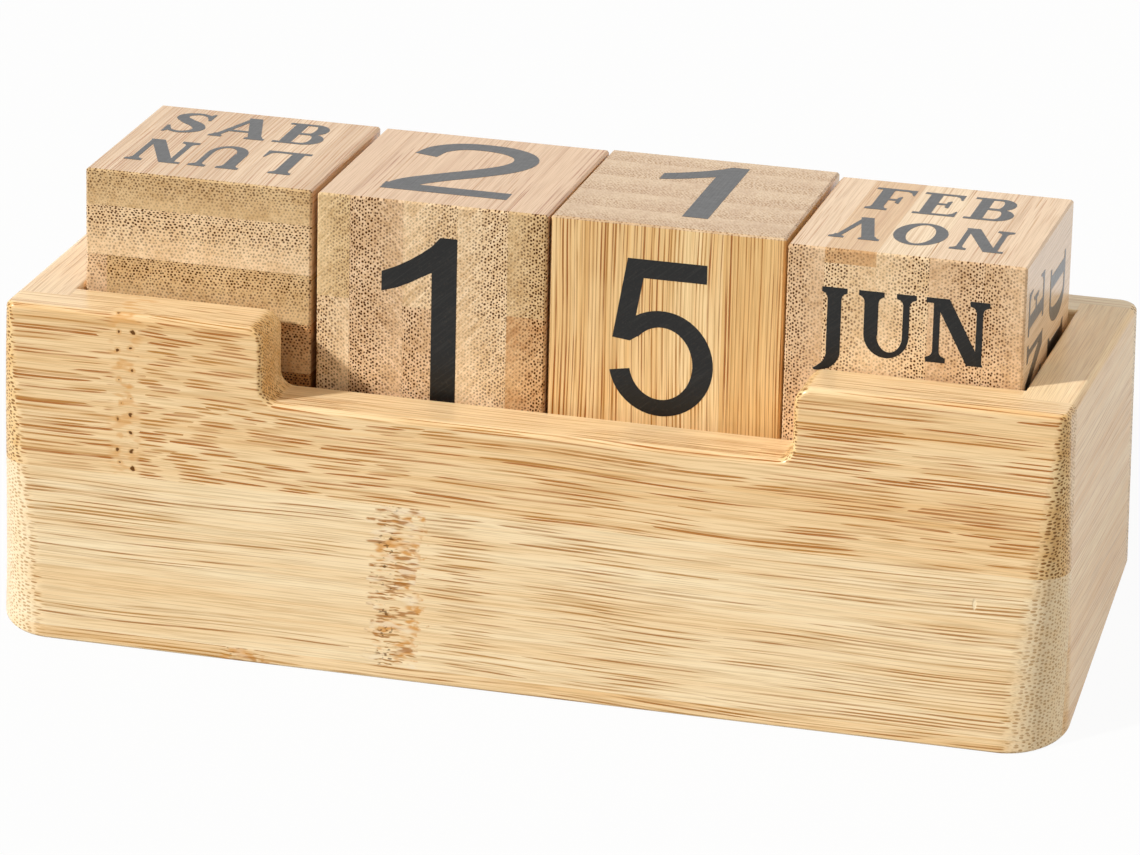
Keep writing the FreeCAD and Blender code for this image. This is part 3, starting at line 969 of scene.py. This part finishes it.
def film(name, outlines, place):
    """One closed film from outlines that may overlap. place takes it onto its block."""
    points, loops = [], []
    for outline in map(turned_left, outlines):
        loops.append(list(range(len(points), len(points) + len(outline))))
        points += [Vector(point) for point in outline]
    corners, _, triangles, _, _, owners = delaunay_2d_cdt(points, [], loops, 0, 1e-5)
    mesh = bmesh.new()
    verts = [mesh.verts.new((*corner, 0)) for corner in corners]
    for triangle, owner in zip(triangles, owners):
        if owner:
            mesh.faces.new([verts[index] for index in triangle])
    bmesh.ops.delete(mesh, geom=[v for v in mesh.verts if not v.link_faces], context="VERTS")
    bmesh.ops.dissolve_limit(mesh, angle_limit=0.001, verts=mesh.verts, edges=mesh.edges)
    bmesh.ops.translate(mesh, verts=mesh.verts, vec=(0, 0, -ink_below))
    pulled = bmesh.ops.extrude_face_region(mesh, geom=mesh.faces[:])
    risen = [item for item in pulled["geom"] if isinstance(item, bmesh.types.BMVert)]
    bmesh.ops.translate(mesh, verts=risen, vec=(0, 0, ink_above + ink_below))
    bmesh.ops.recalc_face_normals(mesh, faces=mesh.faces)
    mesh.transform(place)
    data = bpy.data.meshes.new(name)
    mesh.to_mesh(data)
    mesh.free()
    return add_object(name, data)


# %% [markdown]
# ### The ink itself
# Screen ink dries to a soft black with a little of the grain showing through it. The finish is
# nearly black with faint slanting wear, and the grain shows mostly in the bump, on both the ink
# and its gloss.

# %% The ink itself
soft_black = colour(11, 11, 10)
worn_black = colour(31, 30, 28)
grain_black = colour(46, 42, 37)
wear_slant_degrees = 40
ink_bump_depth = 0.00005
finish_of_ink = {"IOR": 1.25, "Coat Weight": 1.0, "Coat Roughness": 0.3, "Coat IOR": 1.3}

ink = bpy.data.materials.new("printed_black")
p = wiring_of(ink)
ink_place = p.add("Mapping", {
    "Vector": p.node("TexCoord").outputs["Object"],
    "Rotation": (lean, 0, 0), "Scale": (to_mm,) * 3})
mottle = p.noise(ink_place, detail=3)
worn = p.turned(ink_place, wear_slant_degrees, "Y_AXIS")
worn = p.noise(p.vector_math("MULTIPLY", worn, (0.15, 3.0, 3.0)), detail=2)
grain = p.noise(p.vector_math("MULTIPLY", ink_place, (2.4, 0.1, 2.4)), detail=2)
ink_colour = p.mix(p.step(worn, 0.45, 0.75), soft_black, worn_black)
ink_colour = p.mix(p.step(grain, 0.55, 0.8, 0.0, 0.6), ink_colour, grain_black)
ink_height = p.times_plus(grain, 3.0, mottle)
ink_bump = p.add("Bump",
                 {"Height": ink_height, "Strength": 0.3, "Distance": ink_bump_depth})
ink_roughness = p.step(mottle, 0.2, 0.8, 0.38, 0.5)
p.show(p.add("BsdfPrincipled", {
    "Base Color": ink_colour, "Roughness": ink_roughness,
    "Normal": ink_bump, "Coat Normal": ink_bump, **finish_of_ink}))
print("ink nodes", len(ink.node_tree.nodes))

# %% [markdown]
# ## Print on the blocks
# The weekday block has one face with two names and five with one, which makes seven. The month
# block has two names on every face. The feet of every name point to the middle of its face, so
# that one name always reads upright. A face is described by the way out of it and the way that
# is up on it, and from these two a matrix takes a flat film onto the leaning block.

# %% Print on the blocks
front_way, right_way, up_way = Vector((0, -1, 0)), Vector((1, 0, 0)), Vector((0, 0, 1))
face_directions = {
    "front": (front_way, up_way), "back": (-front_way, up_way),
    "left": (-right_way, up_way), "right": (right_way, up_way),
    "top": (up_way, -front_way), "bottom": (-up_way, front_way),
}


def face_place(block, face):
    """The matrix that takes flat work onto the middle of a block's face."""
    low, high = upright_box([name for name in nodes if name.startswith(block)])
    out, up = face_directions[face]
    right = up.cross(out)
    middle = (low + high) / 2 + Vector([out[axis] * (high - low)[axis] / 2 for axis in range(3)])
    turn = Matrix((right, up, out)).transposed().to_4x4()
    return lean_back @ Matrix.Translation(middle) @ turn


def print_word(block, face, text, width, height, middle=0.0, base=2.5, turn=0):
    """Print text on a face, all sizes in mm. base is the height of its foot above the middle."""
    outlines, x = [], 0
    for sign in text:
        sign_width, strokes = letters[sign]
        outlines += [[(x + point[0], point[1]) for point in stroke] for stroke in strokes]
        x += sign_width + letter_gap
    reached = [point[0] for outline in outlines for point in outline]
    left, right = min(reached), max(reached)
    x_scale = width / (right - left) / to_mm
    y_scale = height / 100 / to_mm
    centre = (left + right) / 2
    outlines = [[((x - centre) * x_scale, y * y_scale) for x, y in outline]
                for outline in outlines]
    fit = Matrix.Translation((middle / to_mm, base / to_mm, 0))
    place = face_place(block, face) @ Matrix.Rotation(math.radians(turn), 4, "Z") @ fit
    piece = film(f"ink_{block}_{face}_{text.lower()}", outlines, place)
    piece.data.materials.append(ink)
    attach(piece, block)


upside_down = 180
plain_words = [
    ("weekday_block", "right", "MIE", 0), ("weekday_block", "back", "JUE", 0),
    ("weekday_block", "left", "VIE", upside_down), ("weekday_block", "bottom", "DOM", 0),
    ("month_block", "back", "ABR", 0), ("month_block", "back", "SEP", upside_down),
    ("month_block", "left", "MAY", 0), ("month_block", "left", "AGO", upside_down),
    ("month_block", "bottom", "MAR", 0), ("month_block", "bottom", "OCT", upside_down),
]
for block, face, text, turn in plain_words:
    print_word(block, face, text, width=29.0, height=12.2, turn=turn)

measured_words = [  # block, face, text, width, height, middle, base, turn
    ("weekday_block", "front", "MAR", 28.0, 12.0, 0.0, 4.5, upside_down),
    ("weekday_block", "top", "SAB", 28.2, 12.0, -1.0, 5.0, 0),
    ("weekday_block", "top", "LUN", 29.75, 12.75, 0.9, 0.0, upside_down),
    ("month_block", "top", "FEB", 25.0, 12.35, -0.25, 3.4, 0),
    ("month_block", "top", "NOV", 29.25, 12.0, 0.15, 1.75, upside_down),
    ("month_block", "front", "JUN", 29.3, 11.1, -0.5, 2.25, 0),
    ("month_block", "front", "JUL", 29.3, 11.1, 0.5, 4.5, upside_down),
    ("month_block", "right", "ENE", 29.0, 13.0, 0.5, 4.0, 90),
    ("month_block", "right", "DIC", 27.0, 13.0, 0.5, 1.5, -90),
]
for word in measured_words:
    print_word(*word)

digit_faces = {
    "tens_block": dict(front="1", top="2", right="0", back="7", left="8", bottom="6"),
    "units_block": dict(front="5", top="1", right="3", back="2", left="0", bottom="4"),
}
digit_height = 29.0
measured_digits = {
    ("tens_block", "front"): dict(width=13.1, height=29.6, middle=-2.05, base=-15.35),
    ("tens_block", "top"): dict(width=22.2, height=29.5, middle=0.0, base=-13.75),
    ("units_block", "front"): dict(width=17.75, height=27.1, middle=-0.5, base=-13.1),
    ("units_block", "top"): dict(width=13.3, height=29.75, middle=-1.5, base=-13.5),
}
for block, faces in digit_faces.items():
    for face, text in faces.items():
        size = dict(width=letters[text][0] / 100 * digit_height, height=digit_height,
                    base=-digit_height / 2)
        size.update(measured_digits.get((block, face), {}))
        print_word(block, face, text, **size)
